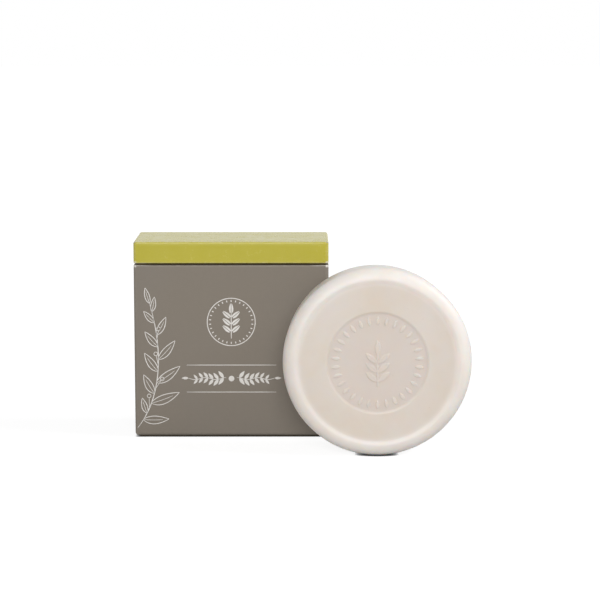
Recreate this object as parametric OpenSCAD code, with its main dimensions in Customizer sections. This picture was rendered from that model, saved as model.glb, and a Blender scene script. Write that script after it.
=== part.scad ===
// Boxed shaving soap: a moulded puck beside its own rigid shoulder carton.
// The carton stands on its underside with its front towards -Y. The puck stands on its edge in
// front of the carton's right-hand side, with its stamped face towards -Y.

/* [Soap puck] */
// Largest diameter of the puck, at its front shoulder
puck_d = 60.9; // [50:0.2:90]
// Thickness of the puck, from its flat back to the crest of its rim
puck_t = 22.5; // [16:0.5:40]
// Taper of the wall towards the back, which lets the puck leave its mould
draft_deg = 2; // [0.5:0.5:5]
// Radius of the round shoulder at the stamped front
shoulder_r = 3.6; // [2:0.1:5]
// Radius of the round edge at the back
back_edge_r = 4; // [2:0.1:5]
// Width of the slope between the rim's crest and the stamped face
rim_slope_w = 1.6; // [0.8:0.1:3]
// How far the stamped face lies below the rim's crest
face_sink = 0.3; // [0.1:0.05:1]

/* [Stamped pattern] */
// Radius of the sunk medallion, to the middle of the slope around it
medallion_r = 16.2; // [15:0.1:20]
// Width of the slope around the medallion
medallion_slope_w = 0.8; // [0.3:0.1:1.5]
// How far the medallion lies below the face around it
medallion_sink = 0.3; // [0.1:0.05:0.6]
// Number of petals in the border inside the medallion
petal_count = 30; // [16:1:32]
// Length of one petal, along the radius
petal_l = 2.8; // [1.5:0.1:3]
// Width of one petal
petal_w = 1.2; // [0.6:0.1:1.4]
// Distance from the medallion's radius to the tips of the petals
petal_inset = 1.3; // [0.8:0.1:2]
// Length of one leaf of the sprig
leaf_l = 5; // [3:0.2:5.6]
// Width of one leaf of the sprig
leaf_w = 1.8; // [1:0.1:2.4]
// Angle between a leaf and the stem
leaf_spread_deg = 50; // [35:1:60]
// Distance along the stem from one pair of leaves to the next
leaf_pitch = 3; // [2.6:0.1:3.4]
// Number of pairs of leaves
leaf_pairs = 3; // [1:1:3]
// Width of the stem
stem_w = 0.5; // [0.3:0.1:1]
// How far the petals, the leaves and the stem stand up from the medallion
motif_h = 0.25; // [0.1:0.05:0.5]

/* [Room for the puck in the carton] */
// Clearance between the puck's wall and the collar, on each side
side_clear = 0.3; // [0.1:0.05:3]
// Clearance in front of the puck and behind it
face_clear = 2; // [0.5:0.05:5]
// Clearance between the top of the puck and the lid's ceiling
head_clear = 2.55; // [1:0.05:10]

/* [Carton] */
// Height of the lid on the outside
lid_h = 7.2; // [5:0.1:16]
// Open line between the lid's rim and the base's rim
shadow_gap = 0.7; // [0.3:0.1:2]
// Radius of the upright corners
corner_r = 1.1; // [0.8:0.1:1.6]
// Radius along the lower edges of the base
foot_edge_r = 1.1; // [0.8:0.1:1.6]
// Radius along the upper edges of the lid
top_edge_r = 0.7; // [0.5:0.1:1.4]

/* [Board and paper] */
// Thickness of the greyboard of the base and the lid
board_t = 0.9; // [0.8:0.05:1.5]
// Thickness of the card of the collar
collar_t = 0.35; // [0.3:0.05:1]
// Thickness of the card under the base
card_t = 0.5; // [0.2:0.05:1]
// Thickness of the printed wrapping papers
wrap_t = 0.1; // [0.08:0.01:0.2]
// Thickness of the plain lining papers
lining_t = 0.1; // [0.08:0.01:0.2]
// Thickness of the paper stays over the trays' corners
stay_t = 0.1; // [0.06:0.01:0.2]
// Clearance between the collar and the walls around it
collar_fit = 0.1; // [0.05:0.01:0.3]
// Clearance at the edges of the lining papers
lining_fit = 0.2; // [0.1:0.05:1]
// How far the base's wrap turns in over its rim
base_turn_in = 9; // [4:0.5:14]
// How far the base's wrap turns under its floor
base_turn_under = 8; // [4:0.5:12]
// How far the lid's wrap turns in over its rim
lid_turn_in = 4; // [2.5:0.1:4.5]
// How far the collar's paper reaches down from its upper edge
collar_cover = 15; // [10:0.5:25]
// Width of a stay on each wall that it holds
stay_leg = 6; // [4:0.5:10]
// Distance from a stay's end to the curve or rim next to it
stay_margin = 0.6; // [0.3:0.1:1.5]
// Distance from the edge of the card under the base to the carton's side
card_inset = 1.6; // [1.3:0.1:5]

/* [Display] */
// How far the puck's centre stands beyond the carton's right-hand side
puck_out = 15.25; // [0:0.05:60]
// Distance from the carton's front to the middle of the puck's back
puck_gap = 6.9; // [3:0.1:60]

/* [Hidden] */
$fn = 64;
soap_ivory = "#ded3c7";
paper_taupe = "#81786e";
paper_green = "#bbb151";
paper_dark = "#44382a";
paper_white = "#f1eee6";
board_grey = "#b9b1a3";
over = 1; // extra length of a cut, so that it runs out of the solid

// Stacks of card, board and papers, from the outside in
floor_stack = card_t + wrap_t + board_t + lining_t;
ceiling_stack = wrap_t + board_t + lining_t;
collar_stack = wrap_t + collar_t + wrap_t;

// Clear room inside the collar
bay_w = puck_d + 2 * side_clear;
bay_d = puck_t + 2 * face_clear;
bay_h = puck_d + head_clear;

// Sizes in plan: the collar, its card, the mouth of the trays, their boards inside and outside, the carton
collar_w = bay_w + 2 * collar_stack;
collar_d = bay_d + 2 * collar_stack;
core_w = collar_w - 2 * wrap_t;
core_d = collar_d - 2 * wrap_t;
mouth_w = collar_w + 2 * collar_fit;
mouth_d = collar_d + 2 * collar_fit;
cavity_w = mouth_w + 2 * wrap_t;
cavity_d = mouth_d + 2 * wrap_t;
board_w = cavity_w + 2 * board_t;
board_d = cavity_d + 2 * board_t;
board_corner_r = corner_r - wrap_t;
carton_w = board_w + 2 * wrap_t;
carton_d = board_d + 2 * wrap_t;

// Levels, from the surface that the carton stands on
wrap_z = card_t;
collar_z = floor_stack;
collar_top = floor_stack + bay_h;
carton_h = collar_top + ceiling_stack;
lid_z = carton_h - lid_h;
base_h = lid_z - shadow_gap;

// Puck: half section, with z = 0 at its back
shoulder_x = puck_d / 2 - shoulder_r;
shoulder_z = puck_t - shoulder_r;
wall_top_x = shoulder_x + shoulder_r * cos(draft_deg);
wall_top_z = shoulder_z - shoulder_r * sin(draft_deg);
wall_foot_z = back_edge_r - back_edge_r * sin(draft_deg);
wall_foot_x = wall_top_x - (wall_top_z - wall_foot_z) * tan(draft_deg);
back_edge_x = wall_foot_x - back_edge_r * cos(draft_deg);
face_z = puck_t - face_sink;
face_r = shoulder_x - rim_slope_w;
medallion_z = face_z - medallion_sink;
arc_steps = 14;
slope_steps = 8;

// Place of the puck, where its wall meets the surface along one straight line
puck_x = carton_w / 2 + puck_out;
puck_y = -carton_d / 2 - puck_gap;
puck_z = wall_top_x * cos(draft_deg) - wall_top_z * sin(draft_deg);

function arc_points(x, z, r, from_deg, to_deg, steps) = [
    for (i = [0 : steps])
        let (a = from_deg + (to_deg - from_deg) * i / steps)
            [x + r * cos(a), z + r * sin(a)]
];

// Smooth slope from the stamped face up to the rim's crest
function rim_slope_points() = [
    for (i = [0 : slope_steps - 1])
        let (t = i / slope_steps)
            [face_r + rim_slope_w * t, face_z + face_sink * (1 - cos(180 * t)) / 2]
];

function puck_section() = concat(
    [[0, 0], [0, medallion_z]],
    [[medallion_r - medallion_slope_w / 2, medallion_z], [medallion_r + medallion_slope_w / 2, face_z]],
    rim_slope_points(),
    arc_points(shoulder_x, shoulder_z, shoulder_r, 90, -draft_deg, arc_steps),
    arc_points(back_edge_x, back_edge_r, back_edge_r, -draft_deg, -90, arc_steps)
);

// Pointed leaf along +Y, with its foot at the origin, raised on the medallion
module raised_leaf(length, width) {
    side_r = (length * length + width * width) / (4 * width);
    side_shift = side_r - width / 2;
    translate([0, length / 2, medallion_z - motif_h]) linear_extrude(2 * motif_h) intersection() {
        translate([-side_shift, 0]) circle(side_r);
        translate([side_shift, 0]) circle(side_r);
    }
}

// Border of petals inside the medallion's edge
module petal_border() {
    petal_foot_r = medallion_r - petal_inset - petal_l;
    for (i = [0 : petal_count - 1])
        rotate([0, 0, i * 360 / petal_count]) translate([0, petal_foot_r, 0]) raised_leaf(petal_l, petal_w);
}

// Upright sprig in the middle: a stem, pairs of leaves and a leaf at the tip
module sprig() {
    stem_l = leaf_pitch * (leaf_pairs + 0.5);
    stem_foot = -(stem_l + leaf_l) / 2;
    translate([-stem_w / 2, stem_foot, medallion_z - motif_h]) cube([stem_w, stem_l, 2 * motif_h]);
    translate([0, stem_foot + stem_l - stem_w, 0]) raised_leaf(leaf_l, leaf_w);
    for (pair = [1 : leaf_pairs], side = [-1, 1])
        translate([0, stem_foot + leaf_pitch * (pair - 0.5), 0])
            rotate([0, 0, -side * leaf_spread_deg])
                raised_leaf(leaf_l, leaf_w);
}

module soap_puck() {
    color(soap_ivory)
        translate([puck_x, puck_y, puck_z])
            rotate([90 - draft_deg, 0, 0])
                union() {
                    rotate_extrude() polygon(puck_section());
                    petal_border();
                    sprig();
                }
}

// Rectangle with round corners
module round_plate(w, d, r) {
    square([w - 2 * r, d], center = true);
    square([w, d - 2 * r], center = true);
    for (x = [-1, 1], y = [-1, 1]) translate([x * (w / 2 - r), y * (d / 2 - r)]) circle(r);
}

// Upright rectangle that stands on its lower side and is round at its two lower corners
module round_foot(w, h, r) {
    translate([-w / 2, r]) square([w, h - r]);
    translate([r - w / 2, 0]) square([w - 2 * r, h]);
    for (x = [-1, 1]) translate([x * (w / 2 - r), r]) circle(r);
}

// Rectangular tube, w by d outside and w_in by d_in inside
module square_tube(w, d, w_in, d_in, h) {
    linear_extrude(h) difference() {
        square([w, d], center = true);
        square([w_in, d_in], center = true);
    }
}

// A tray as tall as h, standing on its floor, drawn in by inset on all its faces
module tray_block(h, edge_r, inset) {
    w = carton_w - 2 * inset;
    d = carton_d - 2 * inset;
    tall = h - 2 * inset;
    translate([0, 0, inset]) intersection() {
        linear_extrude(tall) round_plate(w, d, corner_r - inset);
        rotate([90, 0, 0]) linear_extrude(d, center = true) round_foot(w, tall, edge_r - inset);
        rotate([90, 0, 90]) linear_extrude(w, center = true) round_foot(d, tall, edge_r - inset);
    }
}

// Four paper stays pressed flush over the upright corners of a tray's board
module corner_stays(h, edge_r) {
    stay_z = edge_r + stay_margin;
    translate([0, 0, stay_z]) linear_extrude(h - wrap_t - stay_margin - stay_z) intersection() {
        difference() {
            round_plate(board_w, board_d, board_corner_r);
            round_plate(board_w - 2 * stay_t, board_d - 2 * stay_t, board_corner_r - stay_t);
        }
        for (x = [-1, 1], y = [-1, 1])
            translate([x * board_w / 2, y * board_d / 2]) square(2 * stay_leg, center = true);
    }
}

// Greyboard tray, open at the top
module board_tray(h, edge_r) {
    difference() {
        tray_block(h, edge_r, wrap_t);
        translate([-cavity_w / 2, -cavity_d / 2, wrap_t + board_t]) cube([cavity_w, cavity_d, h]);
        corner_stays(h, edge_r);
    }
}

// Paper around a tray: over its walls and floor, across its rim and down inside it by turn_in
module tray_wrap(h, edge_r, turn_in) {
    difference() {
        tray_block(h, edge_r, 0);
        tray_block(h, edge_r, wrap_t);
        translate([-mouth_w / 2, -mouth_d / 2, h - 2 * wrap_t]) cube([mouth_w, mouth_d, over]);
    }
    translate([0, 0, h - turn_in]) square_tube(cavity_w, cavity_d, mouth_w, mouth_d, turn_in);
}

// Carries a tray from its own floor to its place as the lid, with its rim down
module as_lid() {
    translate([0, 0, carton_h]) rotate([180, 0, 0]) children();
}

module base_board() {
    color(board_grey) translate([0, 0, wrap_z]) board_tray(base_h - wrap_z, foot_edge_r);
}

module base_corner_stays() {
    color(paper_white) translate([0, 0, wrap_z]) corner_stays(base_h - wrap_z, foot_edge_r);
}

module base_wrap() {
    open_w = carton_w - 2 * base_turn_under;
    open_d = carton_d - 2 * base_turn_under;
    color(paper_taupe) translate([0, 0, wrap_z]) difference() {
        tray_wrap(base_h - wrap_z, foot_edge_r, base_turn_in);
        translate([-open_w / 2, -open_d / 2, -over]) cube([open_w, open_d, over + wrap_t]);
    }
}

module underside_card() {
    color(paper_dark) linear_extrude(card_t)
        square([carton_w - 2 * card_inset, carton_d - 2 * card_inset], center = true);
}

module base_floor_lining() {
    color(paper_white) translate([0, 0, collar_z - lining_t]) linear_extrude(lining_t)
        square([cavity_w - 2 * lining_fit, cavity_d - 2 * lining_fit], center = true);
}

// Card tube of the collar, without its paper
module collar_core(h) {
    square_tube(core_w, core_d, core_w - 2 * collar_t, core_d - 2 * collar_t, h);
}

module collar_board() {
    color(board_grey) translate([0, 0, collar_z]) collar_core(bay_h - wrap_t);
}

module collar_wrap() {
    color(paper_dark) translate([0, 0, collar_top - collar_cover]) difference() {
        square_tube(collar_w, collar_d, bay_w, bay_d, collar_cover);
        translate([0, 0, -wrap_t]) collar_core(collar_cover);
    }
}

module lid_board() {
    color(board_grey) as_lid() board_tray(lid_h, top_edge_r);
}

module lid_corner_stays() {
    color(paper_white) as_lid() corner_stays(lid_h, top_edge_r);
}

module lid_wrap() {
    color(paper_green) as_lid() tray_wrap(lid_h, top_edge_r, lid_turn_in);
}

module lid_ceiling_lining() {
    color(paper_white) translate([0, 0, collar_top]) linear_extrude(lining_t)
        square([cavity_w - 2 * lining_fit, cavity_d - 2 * lining_fit], center = true);
}

soap_puck();
base_board();
base_corner_stays();
base_wrap();
underside_card();
base_floor_lining();
collar_board();
collar_wrap();
lid_board();
lid_corner_stays();
lid_wrap();
lid_ceiling_lining();
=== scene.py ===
import math

import bpy
import numpy as np
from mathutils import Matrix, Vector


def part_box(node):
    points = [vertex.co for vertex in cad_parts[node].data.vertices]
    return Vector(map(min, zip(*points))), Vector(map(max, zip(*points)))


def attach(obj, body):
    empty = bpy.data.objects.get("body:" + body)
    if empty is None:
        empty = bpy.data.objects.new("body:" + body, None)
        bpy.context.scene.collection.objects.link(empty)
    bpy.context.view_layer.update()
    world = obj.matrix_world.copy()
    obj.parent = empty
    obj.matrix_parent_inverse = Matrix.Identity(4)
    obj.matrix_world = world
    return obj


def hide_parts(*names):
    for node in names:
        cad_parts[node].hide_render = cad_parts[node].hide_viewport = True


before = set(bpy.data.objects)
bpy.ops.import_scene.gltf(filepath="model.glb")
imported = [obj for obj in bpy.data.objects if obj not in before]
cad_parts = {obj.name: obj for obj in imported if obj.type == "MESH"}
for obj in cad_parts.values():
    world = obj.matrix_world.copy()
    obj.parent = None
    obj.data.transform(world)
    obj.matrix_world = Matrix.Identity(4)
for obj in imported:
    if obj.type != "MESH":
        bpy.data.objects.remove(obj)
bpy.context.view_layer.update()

# Boxed shaving soap: a moulded puck in front of its own paper-covered carton.
# Sizes in the dictionaries are in millimetres, and meshes are made in metres.
mm = 0.001
print("frame loaded:", len(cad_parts), "CAD nodes")

carton = {"cornerRadius": 1.1, "wrapThick": 0.1, "boardThick": 0.9}
baseLow, baseHigh = (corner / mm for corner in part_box("base_wrap"))
lidLow, lidHigh = (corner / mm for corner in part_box("lid_wrap"))
collarLow, collarHigh = (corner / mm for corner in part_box("collar_wrap"))
halfWidth, halfDepth = baseHigh.x, baseHigh.y


def ink(r, g, b):
    # screen colour, 0 to 255, as the linear values that a socket takes
    shares = [c / 255 for c in (r, g, b)]
    return tuple(c / 12.92 if c <= 0.04045 else ((c + 0.055) / 1.055) ** 2.4 for c in shares) + (1.0,)


def smooth(t):
    t = np.clip(t, 0, 1)
    return t * t * (3 - 2 * t)


# Node groups that several materials share.

def newGroup(name, inputs, outputs):
    group = bpy.data.node_groups.new(name, "ShaderNodeTree")
    for label, kind, value in inputs:
        socket = group.interface.new_socket(name=label, in_out="INPUT", socket_type="NodeSocket" + kind)
        if value is not None:
            socket.default_value = value
    for label, kind in outputs:
        group.interface.new_socket(name=label, in_out="OUTPUT", socket_type="NodeSocket" + kind)
    return group, group.nodes.new("NodeGroupInput").outputs, group.nodes.new("NodeGroupOutput").inputs


def setInput(tree, socket, value):
    # a socket as a value is linked, anything else is set
    if isinstance(value, bpy.types.NodeSocket):
        tree.links.new(value, socket)
    else:
        socket.default_value = value


def addNode(tree, kind, settings=None, **values):
    # values go to the inputs by name, or by place as at0, at1 and so on
    node = tree.nodes.new("ShaderNode" + kind)
    for key, value in (settings or {}).items():
        setattr(node, key, value)
    for key, value in values.items():
        label = key.replace("_", " ")
        setInput(tree, node.inputs[int(label[2:]) if label.startswith("at") else label], value)
    return node


def addMath(tree, operation, a, b=0.5):
    return addNode(tree, "Math", {"operation": operation}, at0=a, at1=b).outputs[0]


def mixColors(tree, factor, a, b):
    return addNode(tree, "Mix", {"data_type": "RGBA"}, at0=factor, at6=a, at7=b).outputs[2]


def remap(tree, value, low, high, toLow=0.0, toHigh=1.0):
    node = addNode(tree, "MapRange", {"interpolation_type": "SMOOTHSTEP"}, Value=value)
    for label, number in (("From Min", low), ("From Max", high), ("To Min", toLow), ("To Max", toHigh)):
        node.inputs[label].default_value = number
    return node.outputs[0]


def makeFibreGrain():
    # paper fibres: short streaks that lie more along one way of the sheet
    tree, given, out = newGroup(
        "fibreGrain",
        [("Vector", "Vector", None), ("Fibre Scale", "Float", 1500.0), ("Cloud Scale", "Float", 220.0)],
        [("Height", "Float"), ("Tone", "Float")],
    )
    place, fibreScale = given["Vector"], given["Fibre Scale"]
    stretched = addNode(tree, "Mapping", Vector=place, Scale=(1.0, 0.35, 0.35))
    crossed = addNode(tree, "Mapping", Vector=place, Scale=(0.3, 1.0, 1.0), Rotation=(0.3, 0.5, 0.9))
    fibres = [
        addNode(tree, "TexNoise", Vector=side.outputs[0], Scale=fibreScale, Detail=3.0, Roughness=0.6)
        for side in (stretched, crossed)
    ]
    cloud = addNode(tree, "TexNoise", Vector=place, Scale=given["Cloud Scale"], Detail=4.0, Roughness=0.55)
    mean = addMath(tree, "MULTIPLY", addMath(tree, "ADD", fibres[0].outputs[0], fibres[1].outputs[0]), 0.5)
    tree.links.new(mean, out["Height"])
    clouded = addMath(tree, "MULTIPLY", cloud.outputs[0], 0.55)
    tone = addMath(tree, "ADD", addMath(tree, "MULTIPLY", mean, 0.45), clouded)
    tree.links.new(remap(tree, tone, 0.36, 0.64), out["Tone"])
    return tree


def makeFoldWear():
    # where paper folds over a board's edge the ink cracks, and the pale sheet shows in short broken flecks;
    # along edges that catch the light the same lighter colour is a painted highlight
    tree, given, out = newGroup(
        "foldWearAndHighlight",
        [("Vector", "Vector", None), ("Fold", "Float", 0.0), ("Color", "Color", (1, 1, 1, 1)),
         ("Worn Color", "Color", (1, 1, 1, 1)), ("Amount", "Float", 0.5)],
        [("Color", "Color"), ("Wear", "Float")],
    )
    flecks = addNode(tree, "TexNoise", Vector=given["Vector"], Scale=900.0, Detail=5.0, Roughness=0.7)
    drift = addNode(tree, "TexNoise", Vector=given["Vector"], Scale=90.0, Detail=2.0)
    cracked = remap(tree, flecks.outputs[0], 0.4, 0.66, 0.45, 1.0)
    broken = addMath(tree, "MULTIPLY", cracked, remap(tree, drift.outputs[0], 0.3, 0.7, 0.55, 1.0))
    wornAndHighlight = addMath(tree, "MULTIPLY", addMath(tree, "MULTIPLY", broken, given["Fold"]), given["Amount"])
    wearAndHighlight = addMath(tree, "MINIMUM", wornAndHighlight, 1.0)
    tree.links.new(mixColors(tree, wearAndHighlight, given["Color"], given["Worn Color"]), out["Color"])
    tree.links.new(wearAndHighlight, out["Wear"])
    return tree


def makeSoftBlotch():
    # slow drift between two tints, as in a large printed flat or a poured bar
    tree, given, out = newGroup(
        "softBlotch",
        [("Vector", "Vector", None), ("Scale", "Float", 40.0), ("Color", "Color", (1, 1, 1, 1)),
         ("Second Color", "Color", (1, 1, 1, 1)), ("Amount", "Float", 0.5)],
        [("Color", "Color")],
    )
    slow = addNode(tree, "TexNoise", Vector=given["Vector"], Scale=given["Scale"],
                   Detail=3.0, Roughness=0.5, Distortion=0.4)
    mask = addMath(tree, "MULTIPLY", remap(tree, slow.outputs[0], 0.34, 0.66), given["Amount"])
    tree.links.new(mixColors(tree, mask, given["Color"], given["Second Color"]), out["Color"])
    return tree


def makeSpecks():
    # scattered small marks: pits in soap, dark fibres in greyboard
    tree, given, out = newGroup(
        "specks",
        [("Vector", "Vector", None), ("Scale", "Float", 700.0),
         ("Size", "Float", 0.16), ("Share", "Float", 0.3)],
        [("Mask", "Float")],
    )
    cells = addNode(tree, "TexVoronoi", Vector=given["Vector"], Scale=given["Scale"], Randomness=1.0)
    picked = addNode(tree, "SeparateColor", Color=cells.outputs["Color"])
    chosen = addMath(tree, "LESS_THAN", picked.outputs[0], given["Share"])
    edge = addMath(tree, "DIVIDE", cells.outputs["Distance"], given["Size"])
    tree.links.new(addMath(tree, "MULTIPLY", chosen, remap(tree, edge, 1.0, 0.4)), out["Mask"])
    return tree


fibreGrain = makeFibreGrain()
foldWearAndHighlight = makeFoldWear()
softBlotch = makeSoftBlotch()
specks = makeSpecks()


# Materials.

def newMaterial(name):
    material = bpy.data.materials.new(name)
    material.use_nodes = True
    tree = material.node_tree
    surface = tree.nodes["Principled BSDF"]
    place = tree.nodes.new("ShaderNodeTexCoord").outputs["Object"]
    return material, tree, surface, place


def placeGroup(tree, group, **values):
    node = tree.nodes.new("ShaderNodeGroup")
    node.node_tree = group
    for key, value in values.items():
        setInput(tree, node.inputs[key.replace("_", " ")], value)
    return node


def pointMark(tree, name):
    # a value that the mesh carries on its points
    return addNode(tree, "Attribute", {"attribute_name": name}).outputs["Fac"]


def joinBump(tree, surface, height, strength, distance):
    bump = addNode(tree, "Bump", Height=height, Strength=strength, Distance=distance)
    tree.links.new(bump.outputs[0], surface.inputs["Normal"])


def layPaper(tree, place, look):
    # a sheet's fibres, and its colour with a slow drift and the fibres' tint in it
    grain = placeGroup(
        tree, fibreGrain, Vector=place, Fibre_Scale=look["fibreScale"], Cloud_Scale=look["cloudScale"])
    drift = placeGroup(
        tree, softBlotch, Vector=place, Scale=look["driftScale"], Amount=look["driftAmount"],
        Color=look["color"], Second_Color=look["drift"])
    tint = addMath(tree, "MULTIPLY", grain.outputs["Tone"], look["grainTint"])
    return grain, mixColors(tree, tint, drift.outputs[0], look["grain"])


def roughFrom(tree, tone, look):
    return addMath(tree, "ADD", addMath(tree, "MULTIPLY", tone, look["roughDrift"]), look["rough"])


def printedPaper(name, look):
    # wrapping paper with a flat printed colour, worn along its folds and painted lighter along lit fold edges
    # as a highlight
    material, tree, surface, place = newMaterial(name)
    grain, fine = layPaper(tree, place, look)
    wornAndHighlight = placeGroup(
        tree, foldWearAndHighlight, Vector=place, Fold=pointMark(tree, "fold"), Color=fine,
        Worn_Color=look["wornAndHighlight"], Amount=look["wearAndHighlight"])
    tree.links.new(wornAndHighlight.outputs[0], surface.inputs["Base Color"])
    gloss = roughFrom(tree, grain.outputs["Tone"], look)
    dulled = addMath(tree, "MULTIPLY", wornAndHighlight.outputs["Wear"], look["wornDull"])
    tree.links.new(addMath(tree, "ADD", gloss, dulled), surface.inputs["Roughness"])
    surface.inputs["Specular IOR Level"].default_value = look["specular"]
    joinBump(tree, surface, grain.outputs["Height"], look["bump"], look["bumpDepth"])
    return material


def plainPaper(name, look):
    # uncoated lining paper and board: fibres, faint clouds and a few darker specks
    material, tree, surface, place = newMaterial(name)
    grain, fine = layPaper(tree, place, look)
    marks = placeGroup(
        tree, specks, Vector=place, Scale=look["speckScale"],
        Size=look["speckSize"], Share=look["speckShare"])
    marked = addMath(tree, "MULTIPLY", marks.outputs[0], look["speckTint"])
    tree.links.new(mixColors(tree, marked, fine, look["speck"]), surface.inputs["Base Color"])
    tree.links.new(roughFrom(tree, grain.outputs["Tone"], look), surface.inputs["Roughness"])
    surface.inputs["Specular IOR Level"].default_value = look["specular"]
    joinBump(tree, surface, grain.outputs["Height"], look["bump"], look["bumpDepth"])
    return material


printedSheet = {
    "fibreScale": 1300.0, "cloudScale": 260.0, "driftScale": 26.0, "driftAmount": 0.8,
    "wornDull": 0.25, "bumpDepth": 0.00004,
}
plainSheet = {
    "driftScale": 60.0, "driftAmount": 0.7, "speckTint": 0.7,
    "roughDrift": 0.1, "specular": 0.25, "bumpDepth": 0.00006,
}
# the base's worn colour also paints the highlight along its rim and bottom edge
taupePaper = printedPaper("taupePaper", {
    **printedSheet,
    "color": ink(129, 120, 108), "drift": ink(128, 120, 110),
    "grain": ink(141, 132, 122), "wornAndHighlight": ink(226, 221, 214),
    "grainTint": 0.22, "rough": 0.55, "roughDrift": 0.12, "specular": 0.4, "wearAndHighlight": 0.5, "bump": 0.35,
})
# the lid's worn colour and amount also paint the highlight along its lit front top edge
greenPaper = printedPaper("greenPaper", {
    **printedSheet,
    "color": ink(189, 178, 47), "drift": ink(187, 177, 51),
    "grain": ink(197, 187, 68), "wornAndHighlight": ink(228, 220, 180),
    "grainTint": 0.2, "rough": 0.2, "roughDrift": 0.08, "specular": 0.38, "wearAndHighlight": 0.8, "bump": 0.22,
})
# near-black paper for the collar and the card under the base: its darkness is painted shade for the gap under
# the lid and the line under the base
shadeDarkPaper = printedPaper("shadeDarkPaper", {
    **printedSheet,
    "color": ink(58, 46, 22), "drift": ink(55, 44, 24),
    "grain": ink(68, 56, 34), "wornAndHighlight": ink(120, 108, 84),
    "grainTint": 0.25, "rough": 0.6, "roughDrift": 0.12, "specular": 0.35, "wearAndHighlight": 0.45, "bump": 0.35,
})
liningPaper = plainPaper("liningPaper", {
    **plainSheet,
    "color": ink(240, 237, 229), "drift": ink(236, 232, 222),
    "grain": ink(226, 221, 210), "speck": ink(190, 180, 160),
    "grainTint": 0.35, "fibreScale": 1100.0, "cloudScale": 300.0,
    "speckScale": 500.0, "speckSize": 0.12, "speckShare": 0.08, "rough": 0.78, "bump": 0.5,
})
greyboard = plainPaper("greyboard", {
    **plainSheet,
    "color": ink(184, 176, 163), "drift": ink(176, 168, 156),
    "grain": ink(150, 142, 130), "speck": ink(96, 92, 88),
    "grainTint": 0.55, "fibreScale": 800.0, "cloudScale": 420.0,
    "speckScale": 900.0, "speckSize": 0.2, "speckShare": 0.3, "rough": 0.85, "bump": 0.9,
})


def makeSoapMaterial():
    # milled soap: waxy, a little see-through at its edges, with slow warm and pink clouds
    look = {
        "color": ink(227, 217, 207), "warm": ink(225, 212, 197), "pale": ink(231, 224, 218),
        "pressed": ink(221, 209, 201), "paintedHighlight": ink(247, 241, 237), "pit": ink(209, 196, 182),
        "rough": 0.34, "roughDrift": 0.16, "specular": 0.45, "bump": 0.35, "bumpDepth": 0.00005,
        "glow": 0.65, "glowDepth": 0.0045, "glowSpread": (1.0, 0.72, 0.5),
    }
    material, tree, surface, place = newMaterial("puckSoap")
    clouds = placeGroup(
        tree, softBlotch, Vector=place, Scale=34.0, Amount=0.75,
        Color=look["color"], Second_Color=look["warm"])
    streaks = placeGroup(
        tree, softBlotch, Vector=place, Scale=120.0, Amount=0.3,
        Color=clouds.outputs[0], Second_Color=look["pale"])
    stamped = addMath(tree, "MULTIPLY", pointMark(tree, "pressed"), 0.55)
    pressed = mixColors(tree, stamped, streaks.outputs[0], look["pressed"])
    # painted highlight: the rim and the wall are painted whiter than the stamped face, standing in for their
    # sheen and glow
    highlightNoise = addNode(tree, "TexNoise", Vector=place, Scale=70.0, Detail=3.0, Roughness=0.6)
    uneven = remap(tree, highlightNoise.outputs[0], 0.25, 0.7, 0.5, 0.8)
    highlighted = addMath(tree, "MULTIPLY", pointMark(tree, "paintedHighlight"), uneven)
    highlit = mixColors(tree, highlighted, pressed, look["paintedHighlight"])
    pits = placeGroup(tree, specks, Vector=place, Scale=420.0, Size=0.1, Share=0.12)
    shade = mixColors(tree, addMath(tree, "MULTIPLY", pits.outputs[0], 0.5), highlit, look["pit"])
    tree.links.new(shade, surface.inputs["Base Color"])
    rub = addNode(tree, "TexNoise", Vector=place, Scale=160.0, Detail=5.0, Roughness=0.6)
    tree.links.new(roughFrom(tree, rub.outputs[0], look), surface.inputs["Roughness"])
    fine = addNode(tree, "TexNoise", Vector=place, Scale=1600.0, Detail=4.0, Roughness=0.55)
    low = addNode(tree, "TexNoise", Vector=place, Scale=210.0, Detail=2.0)
    height = addMath(tree, "ADD", addMath(tree, "MULTIPLY", fine.outputs[0], 0.25), low.outputs[0])
    pitted = addMath(tree, "SUBTRACT", height, addMath(tree, "MULTIPLY", pits.outputs[0], 0.8))
    joinBump(tree, surface, pitted, look["bump"], look["bumpDepth"])
    surface.inputs["Subsurface Weight"].default_value = look["glow"]
    surface.inputs["Subsurface Radius"].default_value = look["glowSpread"]
    surface.inputs["Subsurface Scale"].default_value = look["glowDepth"]
    surface.inputs["Specular IOR Level"].default_value = look["specular"]
    return material


def makeInkMaterial():
    # white printing ink, with the paper's fibres showing through a little
    look = {
        "color": ink(233, 229, 224), "thin": ink(205, 198, 190), "thinShare": 0.35,
        "rough": 0.5, "roughDrift": 0.15, "bump": 0.3, "bumpDepth": 0.00003,
    }
    material, tree, surface, place = newMaterial("whiteInk")
    grain = placeGroup(tree, fibreGrain, Vector=place, Fibre_Scale=1500.0, Cloud_Scale=420.0)
    thin = addMath(tree, "MULTIPLY", grain.outputs["Tone"], look["thinShare"])
    tree.links.new(mixColors(tree, thin, look["color"], look["thin"]), surface.inputs["Base Color"])
    tree.links.new(roughFrom(tree, grain.outputs["Tone"], look), surface.inputs["Roughness"])
    joinBump(tree, surface, grain.outputs["Height"], look["bump"], look["bumpDepth"])
    return material


puckSoap = makeSoapMaterial()
whiteInk = makeInkMaterial()
print("materials made:", len(bpy.data.materials))


# Mesh helpers.

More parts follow.
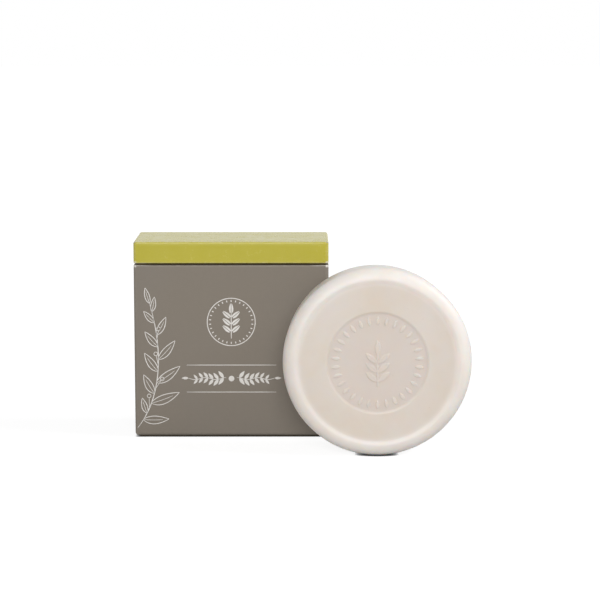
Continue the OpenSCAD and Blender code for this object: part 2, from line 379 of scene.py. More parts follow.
def makePiece(name, points, faces, material, body, nodes=(), marks=None):
    mesh = bpy.data.meshes.new(name)
    mesh.from_pydata((np.asarray(points) * mm).tolist(), [], faces)
    mesh.polygons.foreach_set("use_smooth", np.ones(len(mesh.polygons), bool))
    for label, values in (marks or {}).items():
        layer = mesh.attributes.new(label, "FLOAT", "POINT")
        layer.data.foreach_set("value", np.asarray(values, np.float32))
    mesh.materials.append(material)
    mesh.validate()
    mesh.update()
    piece = bpy.data.objects.new(name, mesh)
    bpy.context.scene.collection.objects.link(piece)
    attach(piece, body)
    if nodes:
        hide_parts(*nodes)
    return piece


def sharpenEdges(piece, degrees=50):
    # keeps smooth shading on curves and crisp corners at folds and cut edges
    piece.data.set_sharp_from_angle(angle=math.radians(degrees))


def turned(points, degrees, foot=(0, 0)):
    # points in a plane, turned about the origin and carried to foot
    c, s = math.cos(math.radians(degrees)), math.sin(math.radians(degrees))
    points = np.asarray(points, float)
    along, up = points[:, 0], points[:, 1]
    return np.column_stack([along * c - up * s, along * s + up * c]) + np.array(foot)


# Papers of the carton.

# room kept for the print in front of the panel, how far it stands out of the paper, and how far into it
inkLift = {"room": 0.015, "proud": 0.012, "depth": 0.03}
# where the side panel's paper ends, how far the tab under it lies back, and how the points lie about the seam
seam = {"tab": 2.0, "drop": 0.045, "halfStep": 0.0012, "farthest": 0.93}


def cartonLoop(inset, radius):
    # points round the carton in plan, drawn in by inset, set close at the seams of the side panels
    halfX, halfY = halfWidth - inset, halfDepth - inset
    longSide = np.linspace(0, 1, 13)[1:-1]
    seamAt = min((halfDepth - seam["tab"]) / (halfY - radius), seam["farthest"])
    nearSeam = [0.5 - 0.5 * seamAt - seam["halfStep"], 0.5 - 0.5 * seamAt + seam["halfStep"]]
    shortSide = [*nearSeam, 0.25, 0.42, 0.58, 0.75, *[1 - t for t in reversed(nearSeam)]]
    corners = [(1, 1, 0), (-1, 1, 90), (-1, -1, 180), (1, -1, 270)]

    def onCorner(index, share):
        sx, sy, start = corners[index % 4]
        turn = math.radians(start + 90 * share)
        centre = np.array([sx * (halfX - radius), sy * (halfY - radius)])
        return centre + radius * np.array([math.cos(turn), math.sin(turn)])

    points = []
    for index in range(4):
        points += [onCorner(index, step / 8) for step in range(9)]
        begin, goal = points[-1], onCorner(index + 1, 0)
        points += [begin + (goal - begin) * share for share in (longSide if index % 2 == 0 else shortSide)]
    return np.array(points)


def layTabs(loop):
    # the tabs from the front and back panels pass round the corners under the side panels
    out = loop.copy()
    corner = carton["cornerRadius"]
    tab = np.abs(loop[:, 1]) > halfDepth - seam["tab"]
    side = smooth((np.abs(loop[:, 0]) - (halfWidth - corner)) / corner)
    out[:, 0] -= np.sign(loop[:, 0]) * seam["drop"] * side * tab
    return out


def bowIn(loop, share, amount):
    # board panels draw in a little between their edges
    out = loop * np.array([1, (halfDepth - inkLift["room"]) / halfDepth])
    alongX = np.clip(1 - (np.abs(loop[:, 0]) / (halfWidth - 1.5)) ** 2, 0, 1)
    alongY = np.clip(1 - (np.abs(loop[:, 1]) / (halfDepth - 3.2)) ** 2, 0, 1)
    frontBack = np.abs(loop[:, 1]) > halfDepth - 0.5
    sides = np.abs(loop[:, 0]) > halfWidth - 0.5
    out[:, 1] -= np.sign(loop[:, 1]) * amount * share * alongX * frontBack
    out[:, 0] -= np.sign(loop[:, 0]) * amount * share * alongY * sides
    return out


def loftRings(rings, close, caps):
    # rings of equal length become one skin; close joins the last to the first, and caps fills both ends
    count = len(rings[0])
    faces = []
    pairs = [(i, i + 1) for i in range(len(rings) - 1)] + ([(len(rings) - 1, 0)] if close else [])
    for a, b in pairs:
        for k in range(count):
            n = (k + 1) % count
            faces.append((a * count + k, a * count + n, b * count + n, b * count + k))
    if caps:
        faces.append(tuple(reversed(range(count))))
        faces.append(tuple((len(rings) - 1) * count + k for k in range(count)))
    return np.vstack(rings), faces


def arcProfile(centreD, centreZ, radius, fromDeg, toDeg, steps, fold):
    turns = np.radians(np.linspace(fromDeg, toDeg, steps + 1))
    return [(centreD - radius * math.cos(t), centreZ + radius * math.sin(t), fold) for t in turns]


def trayProfile(look):
    # from the floor out, up the wall, over the rim and down inside it, then back under the paper.
    # A point is its distance in from the carton's side, its height above the tray's floor and its fold mark,
    # which carries wear and a painted highlight.
    tall, edge, rim, rimWearAndHighlight = look["tall"], look["edgeRadius"], look["rimRadius"], look["rimWearAndHighlight"]
    thick, inner = carton["wrapThick"], 2 * carton["wrapThick"] + carton["boardThick"]
    turnEnd = tall - look["turnIn"]
    floorRings = [d for d in look["floorRings"] if d > edge + 0.05]

    def floorLevel(d):
        # the tray's floor sinks a little in its middle, and rolls off towards its edges
        return look["sag"] * smooth((d - 1.5) / 11) + look["roll"] * (1 - smooth((d - edge) / 4))

    outside = [(d, floorLevel(d), 0) for d in floorRings]
    rolled = look["roll"] * (1 - np.linspace(0, 1, 9))
    edgeArc = arcProfile(edge, edge, edge, -90, 0, 8, 0.0)
    outside += [(d, z + drop, fold) for (d, z, _), drop, fold in zip(edgeArc, rolled, look["edgeWearAndHighlight"])]
    outside += [(0, z, 0) for z in np.linspace(edge, tall - 0.75, 8)[1:]]
    outside += [(0, tall - rim - 0.12, 0.4 * rimWearAndHighlight)]
    outside += arcProfile(rim, tall - rim, rim, 0, 90, 5, rimWearAndHighlight)
    outside += [(inner / 2, tall, rimWearAndHighlight)]
    outside += arcProfile(inner - rim, tall - rim, rim, 90, 180, 5, rimWearAndHighlight)
    outside += [(inner, tall - rim - 0.2, 0.1), (inner, turnEnd + 0.15, 0.0), (inner, turnEnd, 0.6)]
    back = [(inner - thick, turnEnd, 0.6), (inner - thick, tall - thick, 0), (thick, tall - thick, 0)]
    back += [(thick, edge, 0), *arcProfile(edge, edge, edge - thick, 0, -90, 6, 0)[1:]]
    back += [(d, thick + floorLevel(d), 0) for d in reversed(floorRings)]
    return outside, back


def paperTray(name, look, material, body, nodes):
    # paper over a tray of board; a capped one has a closed floor
    tall, corner = look["tall"], carton["cornerRadius"]
    outside, back = trayProfile(look)
    rings, folds = [], []
    for d, z, fold in outside + back:
        loop = cartonLoop(d, max(corner - d, 0.06))
        outer = d < 0.3 and (d, z, fold) in outside
        if outer:
            loop = bowIn(layTabs(loop), float(np.clip(4 * z * (tall - z) / tall**2, 0, 1)), look["bow"])
        high = look["top"] - z if look["flip"] else look["bottom"] + z
        rings.append(np.column_stack([loop, np.full(len(loop), high)]))
        away = np.minimum(halfWidth - d - np.abs(loop[:, 0]), halfDepth - d - np.abs(loop[:, 1]))
        overX = np.maximum(np.abs(loop[:, 0]) - (halfWidth - corner), 0)
        overY = np.maximum(np.abs(loop[:, 1]) - (halfDepth - corner), 0)
        upright = overX * overY > 0
        onRim = z > tall - look["rimRadius"] - 0.2
        wearAndHighlight = np.maximum(fold, look["cornerWear"] * upright * outer * (away < 0.9))
        folds.append(np.maximum(wearAndHighlight, look["nick"] * upright * onRim))
    points, faces = loftRings(rings, not look["capped"], look["capped"])
    if look["flip"]:
        faces = [tuple(reversed(face)) for face in faces]
    piece = makePiece(name, points, faces, material, body, nodes, {"fold": np.concatenate(folds)})
    sharpenEdges(piece)


baseLook = {
    "tall": baseHigh.z - baseLow.z, "bottom": baseLow.z, "flip": False, "capped": False,
    "edgeRadius": 1.1, "rimRadius": 0.25, "turnIn": 9.0,
    "floorRings": [8.0, 5.0, 3.0, 2.0, 1.5], "sag": 0.0, "roll": 0.0, "bow": 0.04,
    # the rim and bottom-edge fold marks are partly wear and partly a painted highlight where those edges
    # catch the light; corner wear and nicks are wear
    "cornerWear": 0.15, "rimWearAndHighlight": 0.35, "nick": 6.0, "edgeWearAndHighlight": [0, 0, 0, 0.1, 0.1, 0.1, 0.05, 0, 0],
}
lidLook = {
    "tall": lidHigh.z - lidLow.z, "top": lidHigh.z, "flip": True, "capped": True,
    "edgeRadius": 0.7, "rimRadius": 0.25, "turnIn": 4.0,
    "floorRings": [14.2, 12.0, 9.0, 6.0, 4.6, 3.8, 3.0, 2.2, 1.6, 1.0],
    "sag": 0.03, "roll": 0.08, "bow": 0.02,
    # the fold marks along the top's front edge are partly wear and partly a painted highlight where that edge
    # catches the light from above
    "cornerWear": 0.3, "rimWearAndHighlight": 0.5, "nick": 4.0, "edgeWearAndHighlight": [0.5, 0.7, 0.8, 0.8, 0.6, 0.3, 0.1, 0, 0],
}
paperTray("basePaper", baseLook, taupePaper, "base", ["base_wrap"])
paperTray("lidPaper", lidLook, greenPaper, "lid", ["lid_wrap"])
print("tray papers made")


def makeCollarPaper():
    # dark paper over the collar's upper edge, folded down on both sides of the card; its near-black colour
    # stands in as painted shade for the deep gap under the lid
    look = {"card": 0.35, "crease": 0.3, "edge": 0.12, "cornerWear": 1.5, "cutWear": 0.5, "edgeWear": 0.9}
    thick, cutWear, edgeWear = carton["wrapThick"], look["cutWear"], look["edgeWear"]
    inner = 2 * thick + look["card"]
    low, high, edge = collarLow.z, collarHigh.z, look["edge"]
    profile = [(0, low, cutWear), (0, low + 0.2, 0)] + [(0, z, 0) for z in np.linspace(low, high, 7)[1:-1]]
    profile += arcProfile(edge, high - edge, edge, 0, 90, 4, edgeWear)
    profile += arcProfile(inner - edge, high - edge, edge, 90, 180, 4, edgeWear)
    profile += [(inner, high - 1, 0), (inner, low + 0.2, 0), (inner, low, cutWear)]
    profile += [(inner - thick, low, cutWear), (inner - thick, high - thick, 0)]
    profile += [(thick, high - thick, 0), (thick, low, cutWear)]
    shift = halfWidth - collarHigh.x
    rings, folds = [], []
    for d, z, fold in profile:
        loop = cartonLoop(d + shift, max(look["crease"] - d, 0.05))
        rings.append(np.column_stack([loop, np.full(len(loop), z)]))
        nearX = halfWidth - shift - np.abs(loop[:, 0]) < 0.5
        nearY = halfDepth - shift - np.abs(loop[:, 1]) < 0.5
        folds.append(np.maximum(fold, look["cornerWear"] * (nearX & nearY)))
    points, faces = loftRings(rings, True, False)
    piece = makePiece("collarPaper", points, faces, shadeDarkPaper, "base", ["collar_wrap"],
                      {"fold": np.concatenate(folds)})
    sharpenEdges(piece)


makeCollarPaper()
print("collar paper made")


# The puck, made lying on its back with its face up, then leant into its place.

puckLook = {
    "centre": (47.75, -21.9, 29.774), "lean": 88,
    "medallionRadius": 16.2, "medallionSlope": 1.0, "medallionSink": 0.3,
    "motifHeight": 0.27, "motifReach": 15.4, "softEdge": 0.2,
    "petals": 30, "petalLength": 2.8, "petalWidth": 1.2, "petalFoot": 12.1,
    "leafLength": 5.0, "leafWidth": 1.8, "leafSpread": 50, "pairFeet": (-6.25, -3.25, -0.25), "tipFoot": 2.25,
    "stemHalf": 0.25, "stemEnds": (-7.75, 2.9), "rib": 0.05,
    "diameter": 60.9, "thickness": 22.5, "shoulderRadius": 3.6, "backRadius": 4.0, "draft": 2,
    # the last three settings on the next line place the painted rim highlight: where it starts and ends
    # across the face, how much it fades away from the lit side, and the turn of that side
    "rimSlope": 1.6, "faceSink": 0.3, "highlightRim": (24.0, 26.2), "highlightFade": 0.2, "highlightSide": 0.4,
    "lump": 0.02, "wobble": 0.035, "dents": 9, "mouldLine": 0.035, "mouldLevel": 11.5, "mouldHalf": 0.22,
    "around": 640, "faceStep": 0.15, "faceRings": 114, "doubledAt": (1.2, 2.6, 5.2, 10.4),
    "outerRings": (17.4, 17.8, 18.5, 19.5, 20.5, 21.5, 22.5, 23.5, 24.4, 24.9), "backRings": (24, 16, 8, 2),
}


def puckSection(look):
    # where the curves of the half section begin and end
    draft = math.radians(look["draft"])
    crest = (look["diameter"] / 2 - look["shoulderRadius"], look["thickness"])
    face = (crest[0] - look["rimSlope"], crest[1] - look["faceSink"])
    wallTop = (crest[0] + look["shoulderRadius"] * math.cos(draft),
               crest[1] - look["shoulderRadius"] * (1 + math.sin(draft)))
    footHeight = look["backRadius"] * (1 - math.sin(draft))
    wallFoot = (wallTop[0] - (wallTop[1] - footHeight) * math.tan(draft), footHeight)
    backEdge = wallFoot[0] - look["backRadius"] * math.cos(draft)
    return crest, face, wallTop, wallFoot, backEdge


def leafShare(look, px, py, length, width):
    # 1 on top of a leaf, 0 beside it, with a soft edge and a rounded back
    side = (length**2 + width**2) / (4 * width)
    inside = side - np.hypot(np.abs(px) + side - width / 2, py - length / 2)
    share = smooth((inside + 0.3 * look["softEdge"]) / look["softEdge"])
    return share * (0.84 + 0.16 * np.clip(inside / (width / 2), 0, 1)), inside


def motifShare(look, x, y):
    # the ring of petals and the sprig: 1 on top of them, 0 beside them
    radius = np.hypot(x, y)
    step = 2 * math.pi / look["petals"]
    turn = np.arctan2(x, y)
    turn = turn - np.round(turn / step) * step
    px, py = radius * np.sin(turn), radius * np.cos(turn) - look["petalFoot"]
    share, _ = leafShare(look, px, py, look["petalLength"], look["petalWidth"])
    spread = look["leafSpread"]
    feet = [(0, look["tipFoot"])] + [(side * spread, foot) for foot in look["pairFeet"] for side in (-1, 1)]
    for degrees, foot in feet:
        c, s = math.cos(math.radians(degrees)), math.sin(math.radians(degrees))
        px, py = x * c - (y - foot) * s, x * s + (y - foot) * c
        leaf, inside = leafShare(look, px, py, look["leafLength"], look["leafWidth"])
        rib = look["rib"] / look["motifHeight"] * np.exp(-((px / 0.13) ** 2)) * smooth(inside / 0.35)
        share = np.maximum(share, leaf - rib)
    low, high = look["stemEnds"]
    stem = np.minimum(look["stemHalf"] - np.abs(x), np.minimum(y - low, high - y))
    return np.maximum(share, smooth((stem + 0.3 * look["softEdge"]) / look["softEdge"]))


def puckRings(look):
    # rings from the middle of the face to the middle of the back: (radius, height, number of points),
    # where the face has no height of its own yet
    crest, face, wallTop, wallFoot, backEdge = puckSection(look)
    draft, around = look["draft"], look["around"]
    rings = []
    for k in range(1, look["faceRings"] + 1):
        radius = look["faceStep"] * k
        rings.append((radius, None, 40 * 2 ** sum(radius >= limit for limit in look["doubledAt"])))
    for radius in (*look["outerRings"], *np.linspace(face[0], crest[0], 13)):
        rings.append((radius, None, around))
    curve = look["shoulderRadius"]
    for turn in np.radians(np.linspace(90, -draft, 17))[1:]:
        rings.append((crest[0] + curve * math.cos(turn), crest[1] - curve + curve * math.sin(turn), around))
    # rings lie closer together about the mould line, half way down the wall
    for share in (*np.linspace(0.03, 0.43, 13), *np.linspace(0.455, 0.52, 6), *np.linspace(0.545, 0.97, 13)):
        rings.append((*(np.array(wallTop) * (1 - share) + np.array(wallFoot) * share), around))
    curve = look["backRadius"]
    for turn in np.radians(np.linspace(-draft, -90, 11)):
        rings.append((backEdge + curve * math.cos(turn), curve + curve * math.sin(turn), around))
    return rings + [(radius, 0.0, around) for radius in look["backRings"]]


def puckFaces(starts, backCentre):
    # starts holds each ring's first point and its number of points; a ring may have twice its inner one's
    first, count = starts[0]
    faces = [(0, first + (k + 1) % count, first + k) for k in range(count)]
    for (a, countA), (b, countB) in zip(starts, starts[1:]):
        for k in range(countA):
            n = (k + 1) % countA
            if countA == countB:
                faces.append((a + k, a + n, b + n, b + k))
            else:
                faces.append((a + k, b + 2 * k + 1, b + 2 * k))
                faces.append((a + k, a + n, b + 2 * k + 1))
                faces.append((a + n, b + (2 * k + 2) % countB, b + 2 * k + 1))
    last, count = starts[-1]
    return faces + [(backCentre, last + k, last + (k + 1) % count) for k in range(count)]


def makePuck(look):
    face = puckSection(look)[1]
    draw = np.random.RandomState(11)
    waves = [(draw.normal(0, 0.16, 3), draw.uniform(0, 6.28)) for _ in range(9)]
    dents = [(draw.uniform(0, 6.28), draw.uniform(6, 21.5), draw.uniform(0.5, 1.1), draw.uniform(0.05, 0.12))
             for _ in range(look["dents"])]

    def lumps(x, y, z):
        return sum(np.sin(x * w[0] + y * w[1] + z * w[2] + phase) for w, phase in waves) / len(waves)

    def front(x, y):
        # height of the stamped face, and how much of a point lies in the sunk medallion
        radius = np.hypot(x, y)
        sunk = 1 - smooth((radius - look["medallionRadius"]) / look["medallionSlope"] + 0.5)
        rise = smooth((radius - face[0]) / look["rimSlope"])
        high = face[1] - look["medallionSink"] * sunk + look["faceSink"] * rise
        high = high + look["motifHeight"] * motifShare(look, x, y) * (radius < look["motifReach"])
        return high + look["lump"] * (lumps(x, y, 0 * x) - 1) * (1 - rise), sunk

    def wallLoss(x, y, radius, height, turn):
        # how far the wall lies in from its clean shape: slow waves, dents, and out again at the mould line
        onWall = smooth((height - 0.4) / 1.6)
        loss = look["wobble"] * (1 - lumps(x, y, np.full(len(x), height))) * onWall
        for where, level, size, deep in dents:
            aside = np.mod(turn - where + math.pi, 2 * math.pi) - math.pi
            apart = np.hypot(aside * radius, height - level)
            loss = loss + deep * np.exp(-((apart / size) ** 2)) * onWall
        off = (height - look["mouldLevel"]) / look["mouldHalf"]
        return loss - look["mouldLine"] * math.exp(-(off**2))

    mid, sunk = front(np.zeros(1), np.zeros(1))
    points, pressed, paintedHighlight, starts = [np.array([[0, 0, mid[0]]])], [sunk], [np.zeros(1)], []
    highlightFrom, highlightTo = look["highlightRim"]
    total = 1
    for radius, height, count in puckRings(look):
        turn = np.arange(count) * 2 * math.pi / count
        x, y = radius * np.sin(turn), radius * np.cos(turn)
        out = np.ones(count)
        if height is None:
            z, sunk = front(x, y)
        else:
            z, sunk = np.full(count, height), np.zeros(count)
            out = 1 - wallLoss(x, y, radius, height, turn) / max(radius, 1)
        points.append(np.column_stack([x * out, y * out, z]))
        pressed.append(sunk)
        # painted highlight, from the rim out over the wall: strongest at the upper right, where the side lamp
        # falls, and weaker on the far side
        onFlat = height is None or radius < highlightTo
        share = float(smooth((radius - highlightFrom) / (highlightTo - highlightFrom))) if onFlat else 1.0
        paintedHighlight.append(share * (1 - look["highlightFade"] * (0.5 - 0.5 * np.cos(turn - look["highlightSide"]))))
        starts.append((total, count))
        total += count
    points.append(np.array([[0, 0, 0]]))
    pressed.append(np.zeros(1))
    paintedHighlight.append(np.ones(1))

    local = np.vstack(points)
    placed = np.column_stack([local[:, 0], turned(local[:, 1:], look["lean"])]) + np.array(look["centre"])
    return makePiece("puckSoap", placed, puckFaces(starts, total), puckSoap, "puck", ["soap_puck"],
                     {"pressed": np.concatenate(pressed), "paintedHighlight": np.concatenate(paintedHighlight)})


puckPiece = makePuck(puckLook)
print("puck made:", len(puckPiece.data.vertices), "points")


# Printed ornament on the carton's front: a leafy branch, a round seal and a garland between two rules.

def frontLevel(x, z):
    # where the front panel's paper lies, from the same bow as its mesh
    tall = baseLook["tall"]
    share = np.clip(4 * (z - 0.1) * (tall - z + 0.1) / tall**2, 0, 1)
    across = np.clip(1 - (np.abs(x) / (halfWidth - 1.5)) ** 2, 0, 1)
    return -(halfDepth - inkLift["room"]) + baseLook["bow"] * share * across


def addPath(shape, path):
    # the path's points twice, standing out of the paper and sunk in it
    level = frontLevel(path[:, 0], path[:, 1])
    for lift in (-inkLift["proud"], inkLift["depth"]):
        shape["points"] += np.column_stack([path[:, 0], level + lift, path[:, 1]]).tolist()


def addSlab(shape, outline):
    # a closed outline becomes a thin solid on the front panel
    outline = np.asarray(outline, float)
    start, count = len(shape["points"]), len(outline)
    addPath(shape, outline)
    top = list(range(start, start + count))
    shape["faces"].append(tuple(top))
    shape["faces"].append(tuple(reversed([k + count for k in top])))
    for k in range(count):
        n = (k + 1) % count
        shape["faces"].append((start + n, start + k, start + count + k, start + count + n))


def addLine(shape, path, width, taper=0.35, closed=False):
    # a drawn line: a strip of short quads along the path, thinner towards its ends
    path = np.asarray(path, float)
    count = len(path)
    if closed:
        along = np.roll(path, -1, 0) - np.roll(path, 1, 0)
        share = np.ones(count)
    else:
        along = np.gradient(path, axis=0)
        t = np.linspace(0, 1, count)
        share = taper + (1 - taper) * np.clip(np.sin(math.pi * t) * 1.8, 0, 1)
    along = along / np.linalg.norm(along, axis=1)[:, None]
    across = np.column_stack([-along[:, 1], along[:, 0]]) * (width / 2 * share)[:, None]
    start = len(shape["points"])
    addPath(shape, path + across)
    addPath(shape, path - across)
    for k in range(count if closed else count - 1):
        n = (k + 1) % count
        a = [start + row * count + k for row in range(4)]  # left front, left back, right front, right back
        b = [start + row * count + n for row in range(4)]
        shape["faces"] += [(a[0], a[2], b[2], b[0]), (a[1], b[1], b[3], a[3])]
        shape["faces"] += [(a[0], b[0], b[1], a[1]), (a[2], a[3], b[3], b[2])]
    if not closed:
        for k, order in ((0, (0, 1, 3, 2)), (count - 1, (0, 2, 3, 1))):
            shape["faces"].append(tuple(start + row * count + k for row in order))


def circlePoints(radius, count, centre=(0, 0)):
    turns = np.linspace(0, 2 * math.pi, count, endpoint=False)
    return np.array(centre) + radius * np.column_stack([np.cos(turns), np.sin(turns)])


def leafSides(length, width, bend, steps=22):
    # two sides and the middle of a long leaf along +Z, fullest below its middle and curved by bend
    t = np.linspace(0, 1, steps)
    half = width / 2 * np.sin(math.pi * t**0.8) ** 0.9
    middle = bend * t**2
    return [np.column_stack([middle + shift, length * t]) for shift in (-half, half, 0)]


def leafOutline(length, width, bend, steps):
    left, right, _ = leafSides(length, width, bend, steps)
    return np.vstack([right, left[-2:0:-1]])


def makeBranch(shape):
    look = {
        "stem": [(-31.6, 3.2), (-24.5, 12.0), (-22.0, 27.0), (-27.2, 45.5)],
        "line": 0.26, "vein": 0.17, "veinPoints": 17,
        "leaves": [  # share along the stem, angle from the stem, length, width, bend
            (0.10, -64, 8.5, 2.7, -1.0), (0.17, 50, 5.4, 1.9, 0.6), (0.27, -56, 10.0, 3.0, -1.3),
            (0.36, 52, 7.2, 2.5, 1.0), (0.45, -52, 9.6, 2.8, -1.2), (0.54, 48, 7.6, 2.5, 1.0),
            (0.63, -48, 8.4, 2.5, -1.0), (0.72, 44, 6.6, 2.2, 0.9), (0.80, -42, 6.8, 2.1, -0.8),
            (0.88, 38, 5.2, 1.8, 0.6), (0.95, -30, 5.0, 1.6, -0.5), (1.0, 4, 5.4, 1.6, 0.4),
        ],
        "berries": [  # share along the stem, angle from the stem, length of the stalk
            (0.22, 24, 3.6), (0.40, -22, 3.4), (0.585, 14, 3.4), (0.77, -14, 3.0),
        ],
        "berry": 0.62,
    }
    a, b, c, d = [np.array(p) for p in look["stem"]]

    def stemAt(t):
        return a * (1 - t) ** 3 + 3 * b * t * (1 - t) ** 2 + 3 * c * t**2 * (1 - t) + d * t**3

    def headingAt(share, degrees):
        along = stemAt(min(share + 0.01, 1.01)) - stemAt(share - 0.01)
        return math.degrees(math.atan2(-along[0], along[1])) + degrees

    addLine(shape, [stemAt(t) for t in np.linspace(0, 1, 60)], look["line"] * 1.25)
    for share, degrees, length, width, bend in look["leaves"]:
        heading, foot = headingAt(share, degrees), stemAt(share)
        left, right, middle = leafSides(length, width, bend)
        addLine(shape, turned(left, heading, foot), look["line"], 0.6)
        addLine(shape, turned(right, heading, foot), look["line"], 0.6)
        addLine(shape, turned(middle[:look["veinPoints"]], heading, foot), look["vein"], 0.5)
    for share, degrees, reach in look["berries"]:
        heading, foot = headingAt(share, degrees), stemAt(share)
        stalk = turned([(0, reach * t) for t in np.linspace(0, 1, 6)], heading, foot)
        addLine(shape, stalk, look["vein"], 0.8)
        centre = turned([(0, reach + look["berry"])], heading, foot)[0]
        addLine(shape, circlePoints(look["berry"], 28, centre), look["vein"] * 1.2, closed=True)


def makeSeal(shape):
    look = {
        "centre": (0.0, 39.2), "radius": 8.0, "line": 0.3,
        "petals": 30, "petalRadius": 7.1, "petalSize": (0.85, 0.38),
        "leafSpread": 50, "leafSize": (4.1, 1.5), "pairFeet": (-3.6, -1.2, 1.2), "tipFoot": 2.6,
        "leafGap": 0.09, "stem": (-5.6, 3.0),
    }
    centre = np.array(look["centre"])
    addLine(shape, circlePoints(look["radius"], 120, centre), look["line"], closed=True)
    length, width = look["petalSize"]
    petal = leafOutline(length, width, 0, 7) - np.array([0, length / 2])
    for k in range(look["petals"]):
        degrees = 360 * k / look["petals"]
        turn = math.radians(degrees)
        foot = centre + look["petalRadius"] * np.array([-math.sin(turn), math.cos(turn)])
        addSlab(shape, turned(petal, degrees, foot))
    low, high = look["stem"]
    stem = [centre + np.array([0, low + (high - low) * t]) for t in np.linspace(0, 1, 12)]
    addLine(shape, stem, look["line"], 0.7)
    spread = look["leafSpread"]
    feet = [(0, look["tipFoot"])] + [(side * spread, foot) for foot in look["pairFeet"] for side in (-1, 1)]
    left, right, middle = leafSides(*look["leafSize"], 0, 18)
    for degrees, foot in feet:
        # each leaf is two halves with a thin bare line between them
        for side, sign in ((left, -1), (right, 1)):
            inner = middle[2:-2] + sign * np.array([look["leafGap"], 0])
            half = np.vstack([inner, side[-3:1:-1]])
            addSlab(shape, turned(half[::sign], degrees, centre + np.array([0, foot])))


def makeGarland(shape):
    look = {
        "middle": 20.0, "halfLength": 14.5, "rules": (24.6, 15.4), "ruleHalf": 15.0, "rule": 0.24,
        "leafSize": (2.9, 1.15), "tipSize": (2.2, 0.9), "pairs": 6, "spread": 58,
        "shrink": 0.06, "drop": 0.95,
    }
    for z in look["rules"]:
        rule = [(x, z) for x in np.linspace(-look["ruleHalf"], look["ruleHalf"], 30)]
        addLine(shape, rule, look["rule"], 0.5)
    addSlab(shape, circlePoints(look["drop"], 24, (0, look["middle"])))
    for side in (-1, 1):
        reach = np.linspace(1.8, look["halfLength"], 30)
        stem = [(side * x, look["middle"] + 0.35 * math.sin(x * 0.9)) for x in reach]
        addLine(shape, stem, look["rule"], 0.6)
        for k in range(look["pairs"]):
            length, width = [size * (1 - look["shrink"] * k) for size in look["leafSize"]]
            for tilt in (-1, 1):
                leaf = leafOutline(length, width, 0.2 * tilt, 12)
                addSlab(shape, turned(leaf, -side * 90 + tilt * look["spread"], stem[2 + 4 * k]))
        addSlab(shape, turned(leafOutline(*look["tipSize"], 0, 12), -side * 90, stem[-1]))


printShape = {"points": [], "faces": []}
makeBranch(printShape)
makeSeal(printShape)
makeGarland(printShape)
printPiece = makePiece(
    "frontPrint", printShape["points"], printShape["faces"], whiteInk, "base")
for polygon in printPiece.data.polygons:
    polygon.use_smooth = False
print("print made:", len(printPiece.data.vertices), "points")


# CAD nodes that keep their own shapes; the card under the base takes the near-black paper, as painted shade
# for the dark line along the foot
for nodeName, material in {
    "base_board": greyboard, "lid_board": greyboard, "collar_board": greyboard,
    "base_corner_stays": liningPaper, "lid_corner_stays": liningPaper,
    "base_floor_lining": liningPaper, "lid_ceiling_lining": liningPaper, "underside_card": shadeDarkPaper,
}.items():
    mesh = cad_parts[nodeName].data
    mesh.materials.clear()
    mesh.materials.append(material)
print("board and linings finished")


# Stage, lamps and camera, with sizes and places in metres.

def seenDirectly(tree):
    # 1 for what the eye, a reflection or clear material sees, 0 for what only lights other things
    rays = tree.nodes.new("ShaderNodeLightPath").outputs
    seen = addMath(tree, "MAXIMUM", rays["Is Camera Ray"], rays["Is Glossy Ray"])
    return addMath(tree, "MAXIMUM", seen, rays["Is Transmission Ray"])


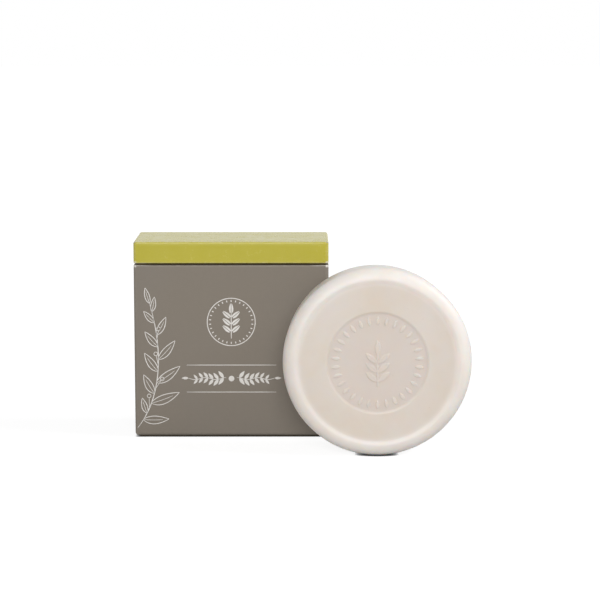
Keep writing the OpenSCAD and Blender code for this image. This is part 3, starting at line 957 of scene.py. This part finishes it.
def makeStage():
    # pale floor and white surroundings: bright to the eye and to reflections, plainer as a light
    look = {
        "floorSeen": (0.3, 0.3, 0.3, 1), "floorBounce": (0.5, 0.5, 0.5, 1), "floorRough": 0.9,
        "glow": (0.86, 1.0), "glowReach": (0.15, 0.6), "contactReach": 0.0009, "contactPower": 1.8,
        "skyLight": 0.26, "size": 8.0,
    }
    mesh = bpy.data.meshes.new("floor")
    half = look["size"] / 2
    corners = [(-half, -half, 0), (half, -half, 0), (half, half, 0), (-half, half, 0)]
    mesh.from_pydata(corners, [], [(0, 1, 2, 3)])
    floor = bpy.data.objects.new("floor", mesh)
    bpy.context.scene.collection.objects.link(floor)

    material, tree, surface, place = newMaterial("floorWhite")
    seen = seenDirectly(tree)
    # painted contact shadow: the floor's colour and glow go dark right under an edge that stands close to it
    near = addNode(tree, "AmbientOcclusion", {"samples": 8}, Distance=look["contactReach"])
    contactShadow = addMath(tree, "POWER", near.outputs["AO"], look["contactPower"])
    pale = mixColors(tree, seen, look["floorBounce"], look["floorSeen"])
    tree.links.new(mixColors(tree, contactShadow, (0, 0, 0, 1), pale), surface.inputs["Base Color"])
    spot = addNode(tree, "VectorMath", {"operation": "LENGTH"}, at0=place)
    glow = remap(tree, spot.outputs["Value"], *look["glowReach"], *look["glow"])
    shaded = addMath(tree, "MULTIPLY", glow, contactShadow)
    tree.links.new(addMath(tree, "MULTIPLY", seen, shaded), surface.inputs["Emission Strength"])
    surface.inputs["Emission Color"].default_value = (1, 1, 1, 1)
    surface.inputs["Roughness"].default_value = look["floorRough"]
    surface.inputs["Specular IOR Level"].default_value = 0.0
    mesh.materials.append(material)

    world = bpy.data.worlds.new("studio")
    bpy.context.scene.world = world
    world.use_nodes = True
    tree = world.node_tree
    sky = tree.nodes["Background"]
    sky.inputs["Color"].default_value = (1, 1, 1, 1)
    tree.links.new(remap(tree, seenDirectly(tree), 0.0, 1.0, look["skyLight"], 1.0), sky.inputs["Strength"])


lampTarget = (0.02, 0, 0.03)
lamps = {
    "sideLamp": {"place": (1.15, -0.15, 0.95), "size": 0.6, "power": 10.4, "color": (0.95, 0.98, 1.0)},
    "frontLamp": {"place": (-0.05, -1.25, 0.45), "size": 0.8, "power": 9.6, "color": (1.0, 1.0, 1.0)},
}


def makeLamp(name, look):
    lamp = bpy.data.lights.new(name, "AREA")
    lamp.shape = "DISK"
    lamp.color, lamp.size, lamp.energy = look["color"], look["size"], look["power"]
    lampObject = bpy.data.objects.new(name, lamp)
    bpy.context.scene.collection.objects.link(lampObject)
    lampObject.location = look["place"]
    away = np.array(look["place"]) - np.array(lampTarget)
    flat = math.hypot(away[0], away[1])
    lampObject.rotation_euler = (math.atan2(flat, away[2]), 0, math.atan2(away[0], -away[1]))


def makeCamera():
    look = {"place": (0.0220, -0.6668, 0.1438), "down": 8.48, "turn": 0.084, "lens": 118.67}
    camera = bpy.data.cameras.new("camera")
    camera.lens = look["lens"]
    camera.sensor_width = 36
    camera.clip_start = 0.01
    cameraObject = bpy.data.objects.new("camera", camera)
    bpy.context.scene.collection.objects.link(cameraObject)
    cameraObject.location = look["place"]
    cameraObject.rotation_euler = (math.radians(90 - look["down"]), 0, math.radians(-look["turn"]))
    bpy.context.scene.camera = cameraObject


makeStage()
for lampName, lampLook in lamps.items():
    makeLamp(lampName, lampLook)
makeCamera()
bpy.context.scene.view_settings.view_transform = "Standard"
print("stage, lamps and camera made")
